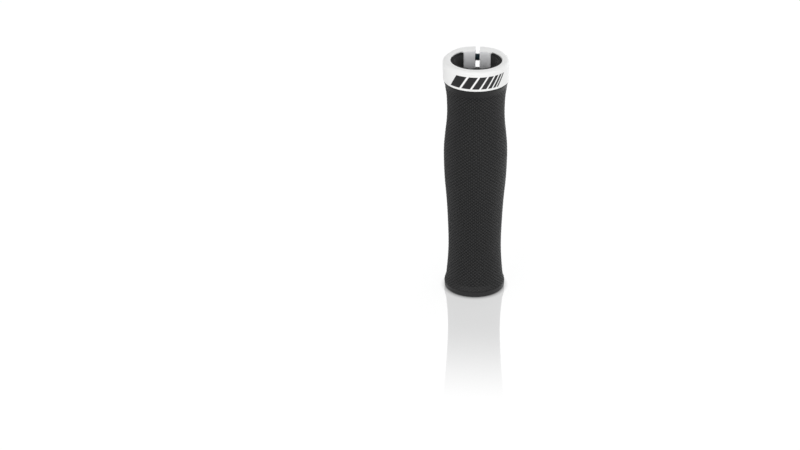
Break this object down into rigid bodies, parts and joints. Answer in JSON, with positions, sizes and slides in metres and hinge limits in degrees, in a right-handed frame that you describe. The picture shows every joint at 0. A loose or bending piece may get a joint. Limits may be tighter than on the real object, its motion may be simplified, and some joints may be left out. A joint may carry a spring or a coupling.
{
  "type": "handlebar grip",
  "caption": "Knurled rubber bicycle handlebar grip on a nylon core, with a white aluminium clamp ring and a cross screw at its inboard end.",
  "frame": {"origin": "centre of the closed outboard end, on the surface that the grip stands on", "axes": "+Z along the grip's axis towards the clamp ring and the open mouth, +Y through the middle of the ring's slot, +X from the threaded jaw to the jaw with the screw's head"},
  "size_m": [0.0342, 0.036, 0.1282],
  "materials": {
    "sleeve_rubber": "matt black moulded rubber with a fine diamond knurl",
    "core_nylon": "satin black moulded nylon",
    "ring_white": "gloss white paint on aluminium, bare where the jaws meet the handlebar",
    "screw_steel": "black oxide steel with a blue cast"
  },
  "bodies": {
    "root": {"grip_sleeve": "sleeve_rubber", "inner_core": "core_nylon", "clamp_ring": "ring_white", "clamp_screw": "screw_steel"}
  },
  "joints": []
}
